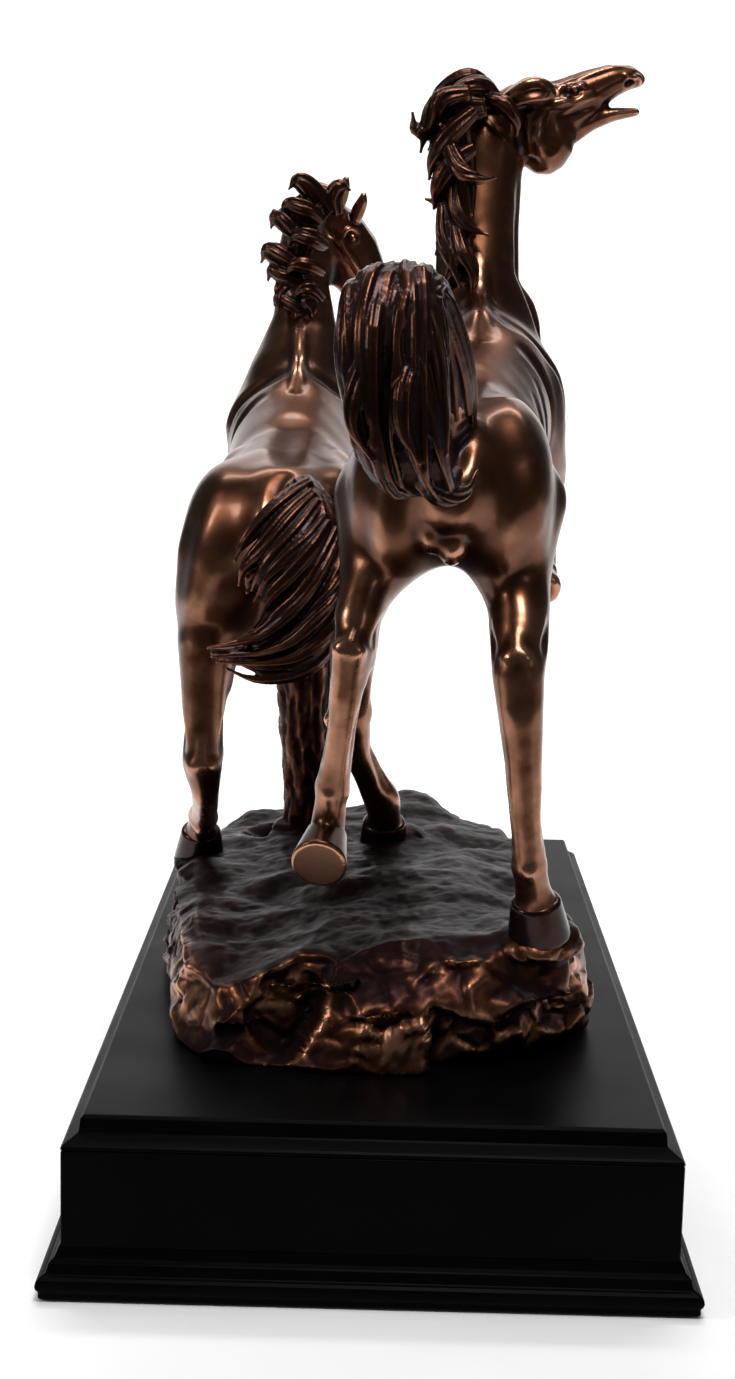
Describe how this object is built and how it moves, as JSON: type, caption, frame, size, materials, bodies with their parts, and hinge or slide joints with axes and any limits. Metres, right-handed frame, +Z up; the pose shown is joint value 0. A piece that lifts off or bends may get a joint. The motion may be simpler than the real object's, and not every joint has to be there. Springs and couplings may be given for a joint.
{
  "type": "horse statue",
  "caption": "Two bronze-finished horses running over a craggy rock, one with its head turned aside, on a moulded black rectangular plinth with a felt base.",
  "frame": {"origin": "centre of the plinth's underside, on the felt pad's lower face", "axes": "+Z up, +Y the way the horses run, along the plinth's length; +X to the horses' right"},
  "size_m": [0.184, 0.362, 0.3593],
  "materials": {
    "bronze": "polished copper-bronze plating under clear lacquer",
    "dark_bronze": "dark purplish-brown patina with rubbed copper edges",
    "lacquer": "satin black lacquered wood",
    "raw_wood": "unfinished softwood and hardboard",
    "felt": "black felt",
    "steel": "zinc plated",
    "brass": "turned brass"
  },
  "bodies": {
    "root": {"plinth_top_board": "lacquer", "apron_board_right": "lacquer", "base_moulding_right": "lacquer", "apron_board_far": "lacquer", "base_moulding_far": "lacquer", "apron_board_left": "lacquer", "base_moulding_left": "lacquer", "apron_board_near": "lacquer", "base_moulding_near": "lacquer", "corner_block_far_right": "raw_wood", "corner_block_far_left": "raw_wood", "corner_block_near_left": "raw_wood", "corner_block_near_right": "raw_wood", "bottom_panel": "raw_wood", "felt_pad": "felt", "mounting_screw_1": "steel", "washer_1": "steel", "threaded_insert_1": "brass", "mounting_screw_2": "steel", "washer_2": "steel", "threaded_insert_2": "brass", "mounting_screw_3": "steel", "washer_3": "steel", "threaded_insert_3": "brass", "mounting_screw_4": "steel", "washer_4": "steel", "threaded_insert_4": "brass", "tree_stump": "dark_bronze", "rock_base": "dark_bronze", "right_horse_hind_leg_right_dowel": "steel", "left_horse_hind_leg_left_dowel": "steel", "left_horse_hind_leg_right_dowel": "steel", "tree_stump_dowel": "steel", "right_horse_body": "bronze", "right_horse_neck_and_head": "bronze", "right_horse_mane": "dark_bronze", "right_horse_tail": "dark_bronze", "right_horse_hind_leg_right": "bronze", "right_horse_hind_leg_left": "bronze", "right_horse_fore_leg_right": "bronze", "right_horse_fore_leg_left": "bronze", "left_horse_body": "bronze", "left_horse_neck_and_head": "bronze", "left_horse_mane": "dark_bronze", "left_horse_tail": "dark_bronze", "left_horse_hind_leg_left": "bronze", "left_horse_hind_leg_right": "bronze", "left_horse_fore_leg_left": "bronze", "left_horse_fore_leg_right": "bronze"}
  },
  "joints": []
}
